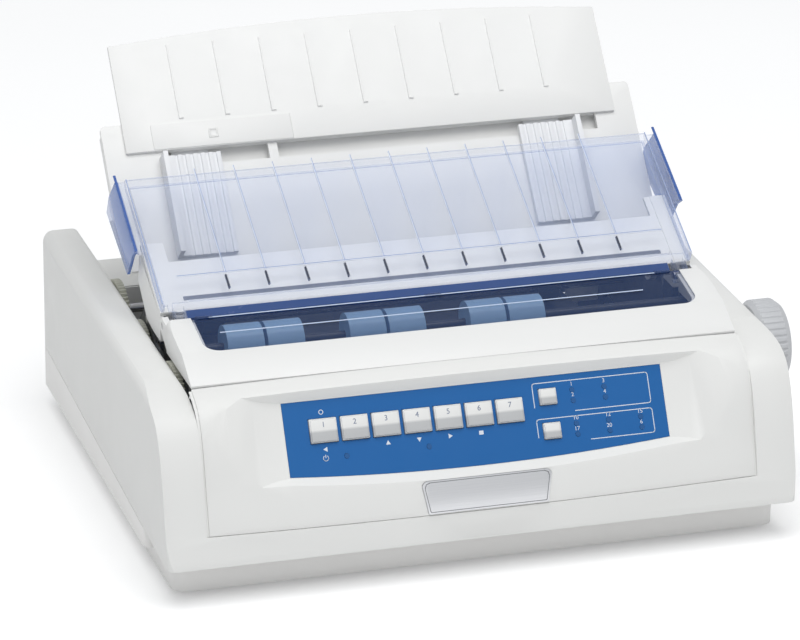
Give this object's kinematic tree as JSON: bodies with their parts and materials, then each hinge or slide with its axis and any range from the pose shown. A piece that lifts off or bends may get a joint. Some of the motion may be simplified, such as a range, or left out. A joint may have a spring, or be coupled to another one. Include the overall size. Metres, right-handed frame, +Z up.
{
  "type": "dot matrix printer",
  "caption": "Desktop dot matrix printer with a hinged cover frame, a clear lifting view cover, a tilting sheet guide, a blue key panel and a platen knob.",
  "frame": {"origin": "on the desk plane, under the middle of the cabinet", "axes": "+X to the right along the platen, +Y to the rear, +Z up"},
  "size_m": [0.419, 0.3373, 0.2615],
  "materials": {
    "housing": "fine spark texture",
    "cover_white": "smooth",
    "pan_grey": "fine spark texture",
    "guide_grey": "ribbed",
    "panel_blue": "printed film",
    "key_light": "smooth",
    "key_grey": "smooth",
    "lens_green": "clear",
    "plate_silver": "satin",
    "clear_blue": "clear tinted",
    "steel": "turned",
    "sheet_steel": "zinc plated",
    "rubber_black": "ground",
    "roller_blue": "smooth",
    "knob_grey": "ribbed",
    "dark_plastic": "fine texture",
    "gear_plastic": "moulded",
    "brass": "turned",
    "motor_black": "satin",
    "head_metal": "cast",
    "board_green": "solder mask",
    "transformer": "varnished"
  },
  "bodies": {
    "printer_base": {"base_pan": "pan_grey", "rubber_feet": "rubber_black", "cabinet": "housing", "front_panel": "housing", "control_overlay": "panel_blue", "indicator_lenses": "lens_green", "panel_board": "board_green", "name_plate": "plate_silver", "cover_hinge_pins": "steel", "guide_pivot_pins": "steel", "side_frame_left": "sheet_steel", "side_frame_right": "sheet_steel", "paper_chute": "dark_plastic", "gear_pins": "steel", "feed_motor": "motor_black", "tractor_rod": "steel", "carriage_shaft": "steel", "carriage_rail": "steel", "carriage_belt": "rubber_black", "carriage_motor": "motor_black", "tail_bracket": "sheet_steel", "main_board": "board_green", "power_supply": "transformer", "rear_connectors": "dark_plastic", "switch_housing": "dark_plastic"},
    "cover_frame": {"access_cover": "cover_white", "window_visor": "clear_blue"},
    "clear_cover": {"view_cover": "clear_blue"},
    "guide": {"sheet_guide": "cover_white", "sheet_support": "cover_white"},
    "edge_guide_left": {"paper_guide_left": "guide_grey"},
    "edge_guide_right": {"paper_guide_right": "guide_grey"},
    "platen_group": {"platen_shaft": "steel", "platen_roller": "rubber_black", "platen_knob": "knob_grey", "platen_gear": "gear_plastic"},
    "idler_group": {"idler_gear": "gear_plastic"},
    "pinion_group": {"motor_pinion": "brass"},
    "transfer_group": {"transfer_gear": "gear_plastic"},
    "tractor_group": {"tractor_shaft": "steel", "tractor_gear": "gear_plastic"},
    "pull_up_group": {"pull_up_shaft": "steel", "pull_up_rollers": "roller_blue"},
    "left_tractor": {"tractor_left": "dark_plastic"},
    "right_tractor": {"tractor_right": "dark_plastic"},
    "carriage_group": {"carriage": "dark_plastic", "print_head": "head_metal", "ribbon_cartridge": "dark_plastic"},
    "drive_pulley_group": {"drive_pulley": "brass"},
    "tail_pulley_group": {"tail_pulley": "gear_plastic"},
    "key_1_button": {"key_1": "key_light"},
    "key_2_button": {"key_2": "key_light"},
    "key_3_button": {"key_3": "key_light"},
    "key_4_button": {"key_4": "key_light"},
    "key_5_button": {"key_5": "key_light"},
    "key_6_button": {"key_6": "key_light"},
    "key_7_button": {"key_7": "key_light"},
    "mode_key_upper_button": {"mode_key_upper": "key_grey"},
    "mode_key_lower_button": {"mode_key_lower": "key_grey"},
    "rocker": {"power_switch": "dark_plastic"}
  },
  "joints": [
    {"name": "cover_frame_hinge", "type": "hinge", "parent": "printer_base", "child": "cover_frame", "pos_m": [0, -0.052, 0.134], "axis": [1, 0, 0], "range_deg": [-50, 0]},
    {"name": "view_cover_hinge", "type": "hinge", "parent": "printer_base", "child": "clear_cover", "pos_m": [0, -0.052, 0.134], "axis": [1, 0, 0], "range_deg": [0, 60]},
    {"name": "guide_tilt", "type": "hinge", "parent": "printer_base", "child": "guide", "pos_m": [0, 0.005, 0.117], "axis": [1, 0, 0], "range_deg": [-36, 0]},
    {"name": "left_guide_slide", "type": "slide", "parent": "guide", "child": "edge_guide_left", "axis": [1, 0, 0], "range_m": [-0.006, 0.038]},
    {"name": "right_guide_slide", "type": "slide", "parent": "guide", "child": "edge_guide_right", "axis": [1, 0, 0], "range_m": [-0.05, 0.015]},
    {"name": "platen_turn", "type": "hinge", "parent": "printer_base", "child": "platen_group", "pos_m": [0, -0.076, 0.093], "axis": [1, 0, 0], "continuous": true},
    {"name": "idler_turn", "type": "hinge", "parent": "printer_base", "child": "idler_group", "pos_m": [0, -0.03841, 0.07932], "axis": [1, 0, 0], "continuous": true},
    {"name": "pinion_turn", "type": "hinge", "parent": "printer_base", "child": "pinion_group", "pos_m": [0, -0.02791, 0.06113], "axis": [1, 0, 0], "continuous": true},
    {"name": "transfer_turn", "type": "hinge", "parent": "printer_base", "child": "transfer_group", "pos_m": [0, 0.00642, 0.08324], "axis": [1, 0, 0], "continuous": true},
    {"name": "tractor_turn", "type": "hinge", "parent": "printer_base", "child": "tractor_group", "pos_m": [0, 0.06619, 0.08847], "axis": [1, 0, 0], "continuous": true},
    {"name": "pull_up_turn", "type": "hinge", "parent": "printer_base", "child": "pull_up_group", "pos_m": [0, -0.06997, 0.12402], "axis": [1, 0, 0], "continuous": true},
    {"name": "left_tractor_slide", "type": "slide", "parent": "printer_base", "child": "left_tractor", "axis": [1, 0, 0], "range_m": [-0.03, 0.07]},
    {"name": "right_tractor_slide", "type": "slide", "parent": "printer_base", "child": "right_tractor", "axis": [1, 0, 0], "range_m": [-0.07, 0.03]},
    {"name": "carriage_slide", "type": "slide", "parent": "printer_base", "child": "carriage_group", "axis": [1, 0, 0], "range_m": [-0.22, 0.02]},
    {"name": "drive_pulley_turn", "type": "hinge", "parent": "printer_base", "child": "drive_pulley_group", "pos_m": [-0.146, -0.098, 0.046], "axis": [0, 0, 1], "continuous": true},
    {"name": "tail_pulley_turn", "type": "hinge", "parent": "printer_base", "child": "tail_pulley_group", "pos_m": [0.146, -0.098, 0.046], "axis": [0, 0, 1], "continuous": true},
    {"name": "key_1_press", "type": "slide", "parent": "printer_base", "child": "key_1_button", "axis": [0, 0.8729, -0.4879], "range_m": [0, 0.0015], "stiffness_N_per_m": 300, "springref_m": -0.001},
    {"name": "key_2_press", "type": "slide", "parent": "printer_base", "child": "key_2_button", "axis": [0, 0.8729, -0.4879], "range_m": [0, 0.0015], "stiffness_N_per_m": 300, "springref_m": -0.001},
    {"name": "key_3_press", "type": "slide", "parent": "printer_base", "child": "key_3_button", "axis": [0, 0.8729, -0.4879], "range_m": [0, 0.0015], "stiffness_N_per_m": 300, "springref_m": -0.001},
    {"name": "key_4_press", "type": "slide", "parent": "printer_base", "child": "key_4_button", "axis": [0, 0.8729, -0.4879], "range_m": [0, 0.0015], "stiffness_N_per_m": 300, "springref_m": -0.001},
    {"name": "key_5_press", "type": "slide", "parent": "printer_base", "child": "key_5_button", "axis": [0, 0.8729, -0.4879], "range_m": [0, 0.0015], "stiffness_N_per_m": 300, "springref_m": -0.001},
    {"name": "key_6_press", "type": "slide", "parent": "printer_base", "child": "key_6_button", "axis": [0, 0.8729, -0.4879], "range_m": [0, 0.0015], "stiffness_N_per_m": 300, "springref_m": -0.001},
    {"name": "key_7_press", "type": "slide", "parent": "printer_base", "child": "key_7_button", "axis": [0, 0.8729, -0.4879], "range_m": [0, 0.0015], "stiffness_N_per_m": 300, "springref_m": -0.001},
    {"name": "mode_key_upper_press", "type": "slide", "parent": "printer_base", "child": "mode_key_upper_button", "axis": [0, 0.8729, -0.4879], "range_m": [0, 0.0015], "stiffness_N_per_m": 300, "springref_m": -0.001},
    {"name": "mode_key_lower_press", "type": "slide", "parent": "printer_base", "child": "mode_key_lower_button", "axis": [0, 0.8729, -0.4879], "range_m": [0, 0.0015], "stiffness_N_per_m": 300, "springref_m": -0.001},
    {"name": "power_rocker", "type": "hinge", "parent": "printer_base", "child": "rocker", "pos_m": [0, 0.16, 0.066], "axis": [1, 0, 0], "range_deg": [-8, 8]}
  ],
  "couplings": [
    {"joint": "idler_turn", "follows": "platen_turn", "ratio": -1.6667},
    {"joint": "pinion_turn", "follows": "platen_turn", "ratio": 4.1667},
    {"joint": "transfer_turn", "follows": "platen_turn", "ratio": 0.83333},
    {"joint": "tractor_turn", "follows": "platen_turn", "ratio": -0.83333},
    {"joint": "pull_up_turn", "follows": "platen_turn", "ratio": -1.3636},
    {"joint": "drive_pulley_turn", "follows": "carriage_slide", "rad_per_m": 116.28},
    {"joint": "tail_pulley_turn", "follows": "carriage_slide", "rad_per_m": 116.28}
  ]
}
